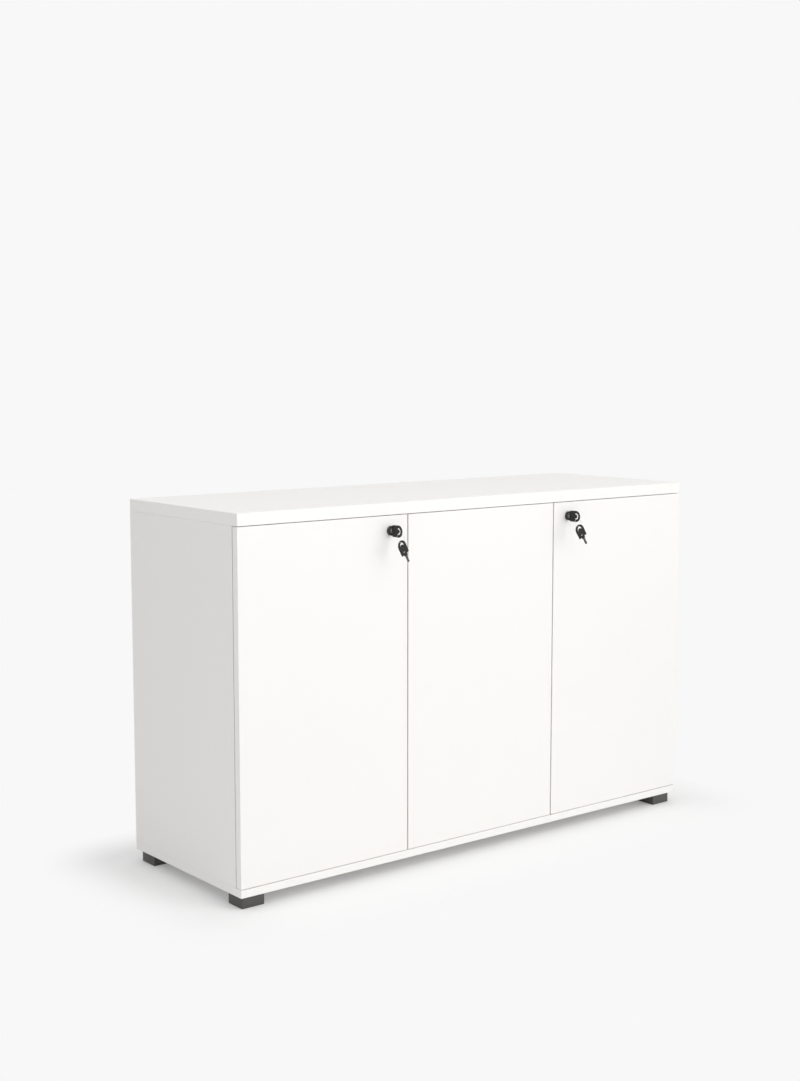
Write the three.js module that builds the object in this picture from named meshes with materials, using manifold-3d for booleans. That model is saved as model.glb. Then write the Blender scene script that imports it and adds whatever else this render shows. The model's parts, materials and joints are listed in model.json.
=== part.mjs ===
// Office credenza: a low cabinet on four block feet with three flush doors on concealed hinges,
// two cam locks with their keys, an inside bolt and one shelf on each side of a partition.
// Millimetres. X runs to the right, Y to the back, Z up, with the floor at zero.
import * as THREE from "three";
import { mergeVertices } from "three/addons/utils/BufferGeometryUtils.js";
import Module from "manifold-3d";

const wasm = await Module();
wasm.setup();

// Cabinet
const width = 1200;
const depth = 397;
const height = 750;
const topThickness = 24;
const bottomThickness = 16;
const sideThickness = 16;
const partitionThickness = 16;
const doorThickness = 16;
const backThickness = 8;
const backInset = 12;
const grooveDepth = 6;
const grooveClearance = 0.3;

// Feet
const footWidth = 51;
const footDepth = 48;
const footHeight = 25;
const footSideInset = 8;
const footEndInset = 10.5;
const footChamfer = 2;

// Gaps round the doors
const doorGap = 3;
const doorTopGap = 1.2;
const doorBottomGap = 1.2;
const doorBackGap = 2.5;

// Shelves and their pins
const shelfThickness = 18;
const shelfRise = 330;
const shelfSideClearance = 1;
const shelfFrontSetback = 30;
const shelfBackClearance = 2;
const pinRadius = 2.5;
const pinHoleClearance = 0.3;
const pinSeatClearance = 0.2;
const pinGrip = 9;
const pinReach = 9;
const pinFrontSetback = 70;
const pinBackSetback = 60;
const pinHolePitch = 32;
const pinHolesEachWay = 3;
const pinHoleExtraDepth = 1;

// Concealed hinges, with u inward from the door's hinged edge and v back from the door's front
const hingeEndDistance = 95;
const openAngle = 110;
const doorAxisU = 7;
const doorAxisV = 3;
const cupPinDistance = 10.5;
const cupCentreU = 22;
const cupBoreRadius = 17.5;
const cupClearance = 0.3;
const cupWall = 1;
const cupFloor = 1.2;
const cupBoreDepth = 12;
const wingWidth = 20;
const wingHeight = 58;
const wingThickness = 1.2;
const wingHoleEnd = 5;
const wingHoleSpacing = wingHeight - 2 * wingHoleEnd;
const screwHoleRadius = 2.2;
const armWidth = 11.4;
const armBarThickness = 6;
const armBack = 66;
const noseRadius = 2.4;
const noseSideGap = 0.75;
const noseFloorGap = 0.6;
const noseTaper = 15;
const forkThickness = 1.4;
const forkClearance = 0.4;
const linkThickness = 1.6;
const linkBow = 2.5;
const linkEyeRadius = 2.1;
const linkTipRadius = 1.3;
const linkPinRadius = 1;
const linkPinClearance = 0.3;
const pedestalFront = 30;
const pedestalBack = 58;
const plateThickness = 2.5;
const plateFront = 34;
const plateDepth = 20;
const plateHeight = 46;
const plateHoleEnd = 7;
const plateHoleSpacing = plateHeight - 2 * plateHoleEnd;

// Cam locks, with w outward from the door's front face
const lockEdgeDistance = 41.8;
const lockTopDistance = 29.8;
const rosetteRadius = 9.75;
const rosetteHeight = 5.5;
const rosetteChamfer = 1.2;
const barrelRadius = 8;
const barrelClearance = 0.3;
const barrelBehind = 4.6;
const plugRadius = 6.2;
const plugClearance = 0.3;
const plugProud = 0.3;
const stubRadius = 3;
const stubLength = 4.6;
const camThickness = 2;
const camLength = 26;
const camWidth = 12;
const camClearance = 0.3;
const strikeWidth = 30;
const strikeThickness = 1.5;
const strikeDrop = 15;
const strikeDepth = 20;
const strikeDoorGap = 3;
const strikeHoleEnd = 7;
const strikeHoleSpacing = strikeWidth - 2 * strikeHoleEnd;

// Keys
const bladeThickness = 1.4;
const bladeHeight = 5.5;
const bladeLength = 18;
const bladeRoot = 8;
const bladeCutDepth = 1.2;
const bladeCutPitch = 3.6;
const bladeCutCount = 3;
const bladeSlotClearance = 0.3;
const bladePocketClearance = 0.2;
const bowLength = 28.5;
const bowWidth = 24;
const bowThickness = 2.6;
const bowFlare = 0.6;
const bowHoleRadius = 6.8;
const bowHoleWeb = 3.7;
const bowHoleChord = 4;
const bowToothRadius = 4.4;
const bowToothGap = 4.7;
const neckLength = 4;
const neckHeight = 8;
const neckClearance = 0.3;
const keyShoulderReach = 7;
const ringRadius = 9.3;
const ringWireRadius = 0.7;
const ringContactGap = 0.5;
const ringLobeAngle = 65;
const ringTilt = 29;
const spareLobeAngle = 45;
const spareTilt = 36;

// Inside bolt of the middle door
const boltEdgeDistance = 25;
const boltWidth = 10;
const boltThickness = 5;
const boltLength = 54;
const boltTopDistance = 2;
const boltTravel = 13;
const boltClearance = 0.3;
const boltKnobWidth = 6;
const boltKnobHeight = 8;
const boltKnobReach = 6;
const guideWidth = 24;
const guideHeight = 40;
const guideWall = 2;
const guideTopDistance = 10;
const keeperClearance = 1;

// Facet counts
const roundSides = 32;
const smallSides = 14;
const ringSides = 36;
const wireSides = 8;

// Planes that the pieces share
const frontY = -depth / 2;
const rearY = depth / 2;
const leftX = -width / 2;
const rightX = width / 2;
const doorRearY = frontY + doorThickness;
const carcassFrontY = doorRearY + doorBackGap;
const floorZ = footHeight + bottomThickness;
const ceilingZ = height - topThickness;
const doorBottomZ = floorZ + doorBottomGap;
const doorTopZ = ceilingZ - doorTopGap;
const backFrontY = rearY - backInset - backThickness;
const moduleWidth = width / 3;
const partitionX = leftX + moduleWidth;
const partitionLeftX = partitionX - partitionThickness / 2;
const partitionRightX = partitionX + partitionThickness / 2;
const innerLeftX = leftX + sideThickness;
const innerRightX = rightX - sideThickness;
const shelfZ = floorZ + shelfRise;
const pinZ = shelfZ - pinRadius - pinSeatClearance;
const pinRowsY = [carcassFrontY + pinFrontSetback, backFrontY - pinBackSetback];
const pinHoleRadius = pinRadius + pinHoleClearance;
const radians = THREE.MathUtils.degToRad;

// Finishes
const finish = (color, roughness, metalness = 0) =>
  new THREE.MeshStandardMaterial({ color, roughness, metalness });
const whiteBoard = finish(0xf3f1ee, 0.45);
const blackPlastic = finish(0x3c3b3a, 0.55);
const keyPlastic = finish(0x232323, 0.4);
const blackMetal = finish(0x2b2b2b, 0.35, 0.6);
const steel = finish(0xb9bbbd, 0.3, 0.9);

// Joining and cutting of closed shapes
function solidOf(geometry) {
  const bare = geometry.clone();
  bare.deleteAttribute("normal");
  bare.deleteAttribute("uv");
  const merged = mergeVertices(bare, 1e-4);
  const vertProperties = new Float32Array(merged.attributes.position.array);
  const triVerts = new Uint32Array(merged.index.array);
  return new wasm.Manifold(new wasm.Mesh({ numProp: 3, vertProperties, triVerts }));
}

function geometryOf(solid) {
  const mesh = solid.getMesh();
  const geometry = new THREE.BufferGeometry();
  geometry.setAttribute("position", new THREE.BufferAttribute(mesh.vertProperties, 3));
  geometry.setIndex(new THREE.BufferAttribute(mesh.triVerts, 1));
  geometry.computeVertexNormals();
  return geometry;
}

function cut(geometry, ...tools) {
  let solid = solidOf(geometry);
  for (const tool of tools) solid = solid.subtract(solidOf(tool));
  return geometryOf(solid);
}

function join(geometry, ...others) {
  let solid = solidOf(geometry);
  for (const other of others) solid = solid.add(solidOf(other));
  return geometryOf(solid);
}

// Basic shapes, each placed by its own limits
function block(x0, x1, y0, y1, z0, z1) {
  const [xa, xb] = x0 < x1 ? [x0, x1] : [x1, x0];
  const geometry = new THREE.BoxGeometry(1, 1, 1);
  const corners = geometry.attributes.position;
  for (let index = 0; index < corners.count; index += 1) {
    const x = corners.getX(index) < 0 ? xa : xb;
    const y = corners.getY(index) < 0 ? y0 : y1;
    const z = corners.getZ(index) < 0 ? z0 : z1;
    corners.setXYZ(index, x, y, z);
  }
  return geometry;
}

function rodX(radius, x0, x1, y, z, sides = smallSides) {
  const geometry = new THREE.CylinderGeometry(radius, radius, x1 - x0, sides);
  return geometry.rotateZ(Math.PI / 2).translate((x0 + x1) / 2, y, z);
}

function rodY(radius, x, y0, y1, z, sides = roundSides) {
  const geometry = new THREE.CylinderGeometry(radius, radius, y1 - y0, sides);
  return geometry.translate(x, (y0 + y1) / 2, z);
}

function rodZ(radius, x, y, z0, z1, sides = smallSides) {
  const geometry = new THREE.CylinderGeometry(radius, radius, z1 - z0, sides);
  return geometry.rotateX(Math.PI / 2).translate(x, y, (z0 + z1) / 2);
}

function plan(points, z0, z1) {
  const shape = new THREE.Shape(points);
  const geometry = new THREE.ExtrudeGeometry(shape, { depth: z1 - z0, bevelEnabled: false });
  return geometry.translate(0, 0, z0);
}

const credenza = new THREE.Group();
credenza.name = "credenza";

function add(name, geometry, material, parent = credenza) {
  const mesh = new THREE.Mesh(geometry, material);
  mesh.name = name;
  parent.add(mesh);
  return mesh;
}

// Rows of shelf pin holes, from the pin's own height up and down
function pinHoles(x0, x1) {
  const holes = [];
  for (const y of pinRowsY) {
    for (let step = -pinHolesEachWay; step <= pinHolesEachWay; step += 1) {
      holes.push(rodX(pinHoleRadius, x0, x1, y, pinZ + step * pinHolePitch));
    }
  }
  return holes;
}

// Space that the back panel's edge takes up in the boards round it
const groove = block(
  innerLeftX - grooveDepth - grooveClearance,
  innerRightX + grooveDepth + grooveClearance,
  backFrontY - grooveClearance,
  backFrontY + backThickness + grooveClearance,
  floorZ - grooveDepth - grooveClearance,
  ceilingZ + grooveDepth + grooveClearance,
);

// Bolt of the middle door, and the keeper hole above it
const boltX = rightX - moduleWidth - doorGap / 2 - boltEdgeDistance;
const boltFrontY = doorRearY + guideWall;
const boltRearY = boltFrontY + boltThickness;
const boltTopZ = doorTopZ - boltTopDistance;
const keeper = block(
  boltX - boltWidth / 2 - keeperClearance,
  boltX + boltWidth / 2 + keeperClearance,
  boltFrontY - keeperClearance,
  boltRearY + keeperClearance,
  ceilingZ - keeperClearance,
  boltTopZ + boltTravel + keeperClearance,
);

// Case boards
add("top_panel", cut(block(leftX, rightX, frontY, rearY, ceilingZ, height), groove, keeper), whiteBoard);
add("bottom_panel", cut(block(leftX, rightX, frontY, rearY, footHeight, floorZ), groove), whiteBoard);
const holeDepth = pinGrip + pinHoleExtraDepth;
add(
  "left_side_panel",
  cut(
    block(leftX, innerLeftX, carcassFrontY, rearY, floorZ, ceilingZ),
    groove,
    ...pinHoles(innerLeftX - holeDepth, innerLeftX + holeDepth),
  ),
  whiteBoard,
);
add(
  "right_side_panel",
  cut(
    block(innerRightX, rightX, carcassFrontY, rearY, floorZ, ceilingZ),
    groove,
    ...pinHoles(innerRightX - holeDepth, innerRightX + holeDepth),
  ),
  whiteBoard,
);
add(
  "partition",
  cut(
    block(partitionLeftX, partitionRightX, carcassFrontY, backFrontY - grooveClearance, floorZ, ceilingZ),
    ...pinHoles(partitionLeftX - holeDepth, partitionRightX + holeDepth),
  ),
  whiteBoard,
);
add(
  "back_panel",
  block(
    innerLeftX - grooveDepth,
    innerRightX + grooveDepth,
    backFrontY,
    backFrontY + backThickness,
    floorZ - grooveDepth,
    ceilingZ + grooveDepth,
  ),
  whiteBoard,
);

// Shelves and pins
const shelfFrontY = carcassFrontY + shelfFrontSetback;
const shelfRearY = backFrontY - shelfBackClearance;
const shelfBays = [
  ["left", innerLeftX, partitionLeftX],
  ["right", partitionRightX, innerRightX],
];
for (const [side, x0, x1] of shelfBays) {
  const board = block(
    x0 + shelfSideClearance,
    x1 - shelfSideClearance,
    shelfFrontY,
    shelfRearY,
    shelfZ,
    shelfZ + shelfThickness,
  );
  add(`${side}_shelf`, board, whiteBoard);
}
const pinPlaces = [
  ["left_side", innerLeftX - pinGrip, innerLeftX + pinReach],
  ["partition", partitionLeftX - pinReach, partitionRightX + pinReach],
  ["right_side", innerRightX - pinReach, innerRightX + pinGrip],
];
for (const [place, x0, x1] of pinPlaces) {
  pinRowsY.forEach((y, row) => {
    const end = row === 0 ? "front" : "rear";
    add(`${place}_${end}_shelf_pin`, rodX(pinRadius, x0, x1, y, pinZ), steel);
  });
}

// Feet, blocks with chamfered corners
for (const [sideName, side] of [["left", -1], ["right", 1]]) {
  for (const [endName, end] of [["front", -1], ["rear", 1]]) {
    const halfX = footWidth / 2;
    const halfY = footDepth / 2;
    const x = side * (rightX - footSideInset - halfX);
    const y = end * (rearY - footEndInset - halfY);
    const flatX = halfX - footChamfer;
    const flatY = halfY - footChamfer;
    const outline = [
      [halfX, -flatY], [halfX, flatY], [flatX, halfY], [-flatX, halfY],
      [-halfX, flatY], [-halfX, -flatY], [-flatX, -halfY], [flatX, -halfY],
    ].map(([dx, dy]) => new THREE.Vector2(x + dx, y + dy));
    add(`${endName}_${sideName}_foot`, plan(outline, 0, footHeight), blackPlastic);
  }
}

// Doors: each has its two edges, the direction from its hinged edge inward and the face its hinges stand on
const leftGapX = leftX + moduleWidth;
const rightGapX = rightX - moduleWidth;
const halfGap = doorGap / 2;
const doors = [
  { name: "left", x0: leftX, x1: leftGapX - halfGap, toward: 1, faceX: innerLeftX, lock: true },
  { name: "middle", x0: leftGapX + halfGap, x1: rightGapX - halfGap, toward: 1, faceX: partitionRightX },
  { name: "right", x0: rightGapX + halfGap, x1: rightX, toward: -1, faceX: innerRightX, lock: true },
];
const hingeHeights = [
  ["upper", doorTopZ - hingeEndDistance],
  ["lower", doorBottomZ + hingeEndDistance],
];
const lockZ = doorTopZ - lockTopDistance;
const lockX = (door) => (door.toward > 0 ? door.x1 - lockEdgeDistance : door.x0 + lockEdgeDistance);
const hingedEdge = (door) => (door.toward > 0 ? door.x0 : door.x1);

// Places in a hinge's own plan: the arm's nose turns inside the cup, clear of its wall and floor
const cupRadius = cupBoreRadius - cupClearance;
const cupInnerRadius = cupRadius - cupWall;
const cupFloorV = doorThickness - cupBoreDepth + cupClearance + cupFloor;
const cupHalfChord = Math.sqrt(cupInnerRadius ** 2 - (armWidth / 2) ** 2);
const armPivotU = cupCentreU + cupHalfChord - noseRadius - noseSideGap;
const armPivotV = cupFloorV + noseFloorGap + noseRadius;
const armPivot = new THREE.Vector2(armPivotU, armPivotV);
const doorAxis = new THREE.Vector2(doorAxisU, doorAxisV);
const pivotTurn = Math.atan2(armPivotV - doorAxisV, armPivotU - doorAxisU);
const cupPinTurn = pivotTurn + radians(openAngle) / 2;
const cupPin = new THREE.Vector2(Math.cos(cupPinTurn), Math.sin(cupPinTurn))
  .multiplyScalar(cupPinDistance)
  .add(doorAxis);
const cupBoreFloorY = doorRearY - cupBoreDepth;

function hingeFrame(door) {
  const edge = hingedEdge(door);
  const x = (u) => edge + door.toward * u;
  const y = (v) => frontY + v;
  const point = (u, v) => new THREE.Vector2(x(u), y(v));
  return { x, y, point };
}

function cupGeometry(door, z) {
  const { x } = hingeFrame(door);
  const centre = x(cupCentreU);
  const bowl = rodY(cupRadius, centre, cupBoreFloorY + cupClearance, doorRearY + wingThickness / 2, z);
  const half = wingWidth / 2;
  const wings = block(
    centre - half, centre + half,
    doorRearY, doorRearY + wingThickness,
    z - wingHeight / 2, z + wingHeight / 2,
  );
  const rimTrim = block(
    centre - cupBoreRadius - half, centre + cupBoreRadius + half,
    doorRearY, doorRearY + wingThickness,
    z - cupBoreRadius, z + cupBoreRadius,
  );
  const hollow = rodY(cupInnerRadius, centre, frontY + cupFloorV, doorRearY + wingThickness * 2, z);
  const screws = [-1, 1].map((end) =>
    rodY(
      screwHoleRadius, centre,
      doorRearY - wingThickness, doorRearY + wingThickness * 2,
      z + (end * wingHoleSpacing) / 2, smallSides,
    ),
  );
  return cut(join(cut(bowl, rimTrim), wings), hollow, ...screws);
}

function armGeometry(door, z) {
  const { x, y, point } = hingeFrame(door);
  const outer = armPivotU + noseRadius;
  const inner = outer - armBarThickness;
  const outline = [
    point(outer, armPivotV),
    point(outer, armBack),
    point(inner, armBack),
    point(inner, armPivotV + noseTaper),
    point(armPivotU - noseRadius, armPivotV + noseTaper / 2),
  ];
  for (let step = 0; step < smallSides; step += 1) {
    const turn = Math.PI + (Math.PI * step) / smallSides;
    outline.push(point(armPivotU + noseRadius * Math.cos(turn), armPivotV + noseRadius * Math.sin(turn)));
  }
  const half = armWidth / 2;
  const bar = plan(outline, z - half, z + half);
  const faceU = Math.abs(door.faceX - hingedEdge(door));
  const middle = (inner + outer) / 2;
  const pedestal = block(x(faceU), x(middle), y(pedestalFront), y(pedestalBack), z - half, z + half);
  const plateTop = x(faceU + plateThickness);
  const plate = block(
    x(faceU), plateTop,
    y(plateFront), y(plateFront + plateDepth),
    z - plateHeight / 2, z + plateHeight / 2,
  );
  const forkHalf = half - forkThickness;
  const forkFront = y(armPivotV - noseRadius - forkClearance);
  const forkBack = y(armPivotV + linkEyeRadius + forkClearance);
  const fork = block(
    x(inner - armBarThickness), x(outer + armBarThickness),
    forkFront, forkBack,
    z - forkHalf, z + forkHalf,
  );
  const holeRadius = linkPinRadius + linkPinClearance;
  const pinHole = rodZ(holeRadius, x(armPivotU), y(armPivotV), z - armWidth, z + armWidth);
  const screwMiddle = y(plateFront + plateDepth / 2);
  const [low, high] = [x(faceU - plateThickness), x(faceU + plateThickness * 2)].sort((a, b) => a - b);
  const screws = [-1, 1].map((end) =>
    rodX(screwHoleRadius, low, high, screwMiddle, z + (end * plateHoleSpacing) / 2),
  );
  return cut(join(bar, pedestal, plate), fork, pinHole, ...screws);
}

function linkGeometry(door, z) {
  const { x, y, point } = hingeFrame(door);
  const along = cupPin.clone().sub(armPivot);
  const across = new THREE.Vector2(-along.y, along.x).normalize();
  const bend = new THREE.QuadraticBezierCurve(
    armPivot,
    armPivot.clone().addScaledVector(along, 0.5).addScaledVector(across, linkBow * 2),
    cupPin,
  );
  const centres = bend.getPoints(smallSides);
  const offset = (centre, index, amount) => {
    const tangent = bend.getTangent(index / smallSides);
    return point(centre.x - tangent.y * amount, centre.y + tangent.x * amount);
  };
  const half = linkThickness / 2;
  const outline = [
    ...centres.map((centre, index) => offset(centre, index, half)),
    ...centres.map((centre, index) => offset(centre, index, -half)).reverse(),
  ];
  const halfWidth = armWidth / 2 - forkThickness - forkClearance;
  const z0 = z - halfWidth;
  const z1 = z + halfWidth;
  const bar = plan(outline, z0, z1);
  const eye = rodZ(linkEyeRadius, x(armPivotU), y(armPivotV), z0, z1);
  const tip = rodZ(linkTipRadius, x(cupPin.x), y(cupPin.y), z0, z1);
  const pin = rodZ(linkPinRadius, x(armPivotU), y(armPivotV), z - armWidth / 2, z + armWidth / 2);
  return join(bar, eye, tip, pin);
}

for (const door of doors) {
  const { x } = hingeFrame(door);
  const bores = hingeHeights.map(([, z]) =>
    rodY(cupBoreRadius, x(cupCentreU), cupBoreFloorY, doorRearY + cupBoreDepth, z),
  );
  if (door.lock) {
    const boreRadius = barrelRadius + barrelClearance;
    bores.push(rodY(boreRadius, lockX(door), frontY - doorThickness, doorRearY + doorThickness, lockZ));
  }
  const leaf = block(door.x0, door.x1, frontY, doorRearY, doorBottomZ, doorTopZ);
  add(`${door.name}_door`, cut(leaf, ...bores), whiteBoard);
  for (const [level, z] of hingeHeights) {
    add(`${door.name}_${level}_hinge_cup`, cupGeometry(door, z), steel);
    add(`${door.name}_${level}_hinge_arm`, armGeometry(door, z), steel);
    add(`${door.name}_${level}_hinge_link`, linkGeometry(door, z), steel);
  }
}

// Turned shape about the lock's axis from points of radius and outward distance
function turned(points, x, z) {
  const profile = points.map(([radius, w]) => new THREE.Vector2(radius, -w));
  return new THREE.LatheGeometry(profile, roundSides).translate(x, frontY, z);
}

// Lock parts behind the door's front face, as outward distances
const barrelRear = -(doorThickness + barrelBehind);
const plugRear = barrelRear - camClearance;
const stubRear = plugRear - stubLength;
const camFront = plugRear - camClearance;
const camRear = camFront - camThickness;
const plugFront = rosetteHeight + plugProud;
const slotRear = keyShoulderReach - bladeLength - bladeSlotClearance;

function housingGeometry(x) {
  const bore = plugRadius + plugClearance;
  const profile = [
    [bore, barrelRear],
    [bore, rosetteHeight],
    [rosetteRadius - rosetteChamfer, rosetteHeight],
    [rosetteRadius, rosetteHeight - rosetteChamfer],
    [rosetteRadius, 0],
    [barrelRadius, 0],
    [barrelRadius, barrelRear],
    [bore, barrelRear],
  ];
  return turned(profile, x, lockZ);
}

function plugGeometry(x) {
  const profile = [
    [0, plugFront],
    [plugRadius, plugFront],
    [plugRadius, plugRear],
    [stubRadius, plugRear],
    [stubRadius, stubRear],
    [0, stubRear],
  ];
  const halfSlot = bladeThickness / 2 + bladeSlotClearance;
  const halfHeight = bladeHeight / 2 + bladeSlotClearance;
  const slot = block(
    x - halfSlot, x + halfSlot,
    frontY - plugFront - bladeSlotClearance, frontY - slotRear,
    lockZ - halfHeight, lockZ + halfHeight,
  );
  const halfNeck = bowThickness / 2 + neckClearance;
  const halfNeckHeight = neckHeight / 2 + neckClearance;
  const recess = block(
    x - halfNeck, x + halfNeck,
    frontY - plugFront - neckClearance, frontY - keyShoulderReach + neckLength + neckClearance,
    lockZ - halfNeckHeight, lockZ + halfNeckHeight,
  );
  return cut(turned(profile, x, lockZ), slot, recess);
}

function camGeometry(x, toward) {
  const y0 = frontY - camFront;
  const y1 = frontY - camRear;
  const half = camWidth / 2;
  const disc = rodY(half, x, y0, y1, lockZ);
  const arm = block(x, x + toward * camLength, y0, y1, lockZ - half, lockZ + half);
  const hole = rodY(stubRadius + camClearance, x, y0 - camThickness, y1 + camThickness, lockZ);
  return cut(join(disc, arm), hole);
}

function strikeGeometry(x) {
  const half = strikeWidth / 2;
  const y0 = doorRearY + strikeDoorGap;
  const leg = block(x - half, x + half, y0, y0 + strikeThickness, ceilingZ - strikeDrop, ceilingZ);
  const plate = block(x - half, x + half, y0, y0 + strikeDepth, ceilingZ - strikeThickness, ceilingZ);
  const holes = [-1, 1].map((end) =>
    rodZ(
      screwHoleRadius, x + (end * strikeHoleSpacing) / 2, y0 + (strikeDepth + strikeThickness) / 2,
      ceilingZ - strikeThickness * 2, ceilingZ + strikeThickness,
    ),
  );
  return cut(join(leg, plate), ...holes);
}

// A key lies along Y: blade toward the back, bow toward the front, shoulder at its origin
function keyPlate(shape, thickness) {
  const settings = { depth: thickness, bevelEnabled: false, curveSegments: smallSides };
  const geometry = new THREE.ExtrudeGeometry(shape, settings);
  const turn = new THREE.Matrix4().makeBasis(
    new THREE.Vector3(0, -1, 0),
    new THREE.Vector3(0, 0, 1),
    new THREE.Vector3(-1, 0, 0),
  );
  return geometry.translate(0, 0, -thickness / 2).applyMatrix4(turn);
}

const bowRadius = bowWidth / 2;
const bowArcReach = bowLength - bowRadius;
const holeReach = bowLength - bowHoleWeb - bowHoleRadius;
const holeBase = holeReach - bowHoleChord;
const toothReach = holeReach + bowHoleRadius - bowToothGap - bowToothRadius;

// The bow's hole is round with a flat toward the blade, and a round tooth stands on the flat
function bowGeometry() {
  const corner = bowRadius - bowFlare;
  const halfNeck = neckHeight / 2;
  const shape = new THREE.Shape();
  shape.moveTo(-neckLength, -halfNeck);
  shape.lineTo(0, -halfNeck);
  shape.lineTo(0, -corner);
  shape.lineTo(bowArcReach, -bowRadius);
  shape.absarc(bowArcReach, 0, bowRadius, -Math.PI / 2, Math.PI / 2, false);
  shape.lineTo(0, corner);
  shape.lineTo(0, halfNeck);
  shape.lineTo(-neckLength, halfNeck);
  const sweep = Math.acos((holeBase - holeReach) / bowHoleRadius);
  const toothTurn = Math.acos((holeBase - toothReach) / bowToothRadius);
  const hole = new THREE.Path();
  hole.absarc(holeReach, 0, bowHoleRadius, -sweep, sweep, false);
  hole.absarc(toothReach, 0, bowToothRadius, toothTurn, -toothTurn, true);
  shape.holes.push(hole);
  const halfPocket = bladeThickness / 2 + bladePocketClearance;
  const halfHeight = bladeHeight / 2 + bladePocketClearance;
  const pocket = block(
    -halfPocket, halfPocket,
    -bladeRoot - bladePocketClearance, neckLength + bladePocketClearance,
    -halfHeight, halfHeight,
  );
  return cut(keyPlate(shape, bowThickness), pocket);
}

function bladeGeometry() {
  const half = bladeHeight / 2;
  const shape = new THREE.Shape();
  shape.moveTo(bladeRoot, -half);
  shape.lineTo(bladeRoot, half);
  shape.lineTo(-bladeLength + half / 2, half);
  shape.lineTo(-bladeLength, half / 2);
  shape.lineTo(-bladeLength, -half / 2);
  shape.lineTo(-bladeLength + half / 2, -half);
  for (let index = 0; index < bladeCutCount; index += 1) {
    const middle = -bladeLength + half / 2 + bladeCutPitch * (index + 0.5);
    shape.lineTo(middle - bladeCutPitch / 4, -half);
    shape.lineTo(middle, -half + bladeCutDepth);
    shape.lineTo(middle + bladeCutPitch / 4, -half);
  }
  return keyPlate(shape, bladeThickness);
}

// The ring's wire passes through the lower lobe of the bow's hole and hangs outward from there
const lobeRadius = bowHoleRadius - ringWireRadius - ringContactGap;
const lobeReach = holeReach + lobeRadius * Math.cos(radians(ringLobeAngle));
const lobeDrop = lobeRadius * Math.sin(radians(ringLobeAngle));
const ringBottomReach = lobeReach + 2 * ringRadius * Math.sin(radians(ringTilt));
const ringBottomDrop = lobeDrop + 2 * ringRadius * Math.cos(radians(ringTilt));
const spareWireReach = holeReach + lobeRadius * Math.cos(radians(spareLobeAngle));
const spareWireOffset = lobeRadius * Math.sin(radians(spareLobeAngle));

function addKeys(name, x) {
  const keys = new THREE.Group();
  keys.position.set(x, frontY - keyShoulderReach, lockZ);
  credenza.add(keys);
  add(`${name}_key_blade`, bladeGeometry(), steel, keys);
  add(`${name}_key_bow`, bowGeometry(), keyPlastic, keys);

  const ring = new THREE.TorusGeometry(ringRadius, ringWireRadius, wireSides, ringSides);
  const ringMesh = add(`${name}_key_ring`, ring, steel, keys);
  ringMesh.rotation.x = Math.PI / 2 - radians(ringTilt);
  ringMesh.position.set(0, -(lobeReach + ringBottomReach) / 2, -(lobeDrop + ringBottomDrop) / 2);

  const spare = new THREE.Group();
  const lean = radians(spareTilt);
  spare.rotation.x = -Math.PI / 2 - lean;
  spare.position.set(
    0,
    -ringBottomReach - spareWireReach * Math.sin(lean) + spareWireOffset * Math.cos(lean),
    -ringBottomDrop - spareWireReach * Math.cos(lean) - spareWireOffset * Math.sin(lean),
  );
  keys.add(spare);
  add(`${name}_spare_key_blade`, bladeGeometry(), steel, spare);
  add(`${name}_spare_key_bow`, bowGeometry(), keyPlastic, spare);
}

for (const door of doors.filter((each) => each.lock)) {
  const x = lockX(door);
  add(`${door.name}_lock_housing`, housingGeometry(x), blackMetal);
  add(`${door.name}_lock_plug`, plugGeometry(x), steel);
  add(`${door.name}_lock_cam`, camGeometry(x, -door.toward), steel);
  add(`${door.name}_strike_plate`, strikeGeometry(x), steel);
  addKeys(door.name, x);
}

// Bolt guide: a box with an upright channel, open behind for the bolt's knob
const guideTopZ = doorTopZ - guideTopDistance;
const guideBottomZ = guideTopZ - guideHeight;
const guideRearY = boltRearY + guideWall;
const knobBottomZ = guideBottomZ + (guideHeight - boltKnobHeight - boltTravel) / 2;
const channel = block(
  boltX - boltWidth / 2 - boltClearance,
  boltX + boltWidth / 2 + boltClearance,
  boltFrontY - boltClearance,
  boltRearY + boltClearance,
  guideBottomZ - guideWall,
  guideTopZ + guideWall,
);
const knobSlot = block(
  boltX - boltKnobWidth / 2 - boltClearance,
  boltX + boltKnobWidth / 2 + boltClearance,
  boltRearY,
  guideRearY + guideWall,
  knobBottomZ - boltClearance,
  knobBottomZ + boltKnobHeight + boltTravel + boltClearance,
);
const guideBody = block(
  boltX - guideWidth / 2,
  boltX + guideWidth / 2,
  doorRearY,
  guideRearY,
  guideBottomZ,
  guideTopZ,
);
add("middle_door_bolt_guide", cut(guideBody, channel, knobSlot), blackPlastic);
const boltBar = block(
  boltX - boltWidth / 2,
  boltX + boltWidth / 2,
  boltFrontY,
  boltRearY,
  boltTopZ - boltLength,
  boltTopZ,
);
const boltKnob = block(
  boltX - boltKnobWidth / 2,
  boltX + boltKnobWidth / 2,
  boltRearY - boltThickness / 2,
  boltRearY + boltKnobReach,
  knobBottomZ,
  knobBottomZ + boltKnobHeight,
);
add("middle_door_bolt", join(boltBar, boltKnob), steel);

// The origin lies under the middle of the whole depth, keys included
const bounds = new THREE.Box3().setFromObject(credenza, true);
credenza.position.y = -(bounds.min.y + bounds.max.y) / 2;

export default credenza;
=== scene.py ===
"""Office credenza: the finishes and fine pieces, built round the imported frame.

Metres, with X to the right, Y to the back and Z up. Boards, hinges and keys are copies of the
frame's solids with eased edges; feet, rosettes, key rings and fixings are finer pieces in the
same places.
"""

import json
import logging
import math
from abc import ABC, abstractmethod
from dataclasses import dataclass, field
from enum import Enum
from typing import Any, Optional, Sequence, Union

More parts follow.
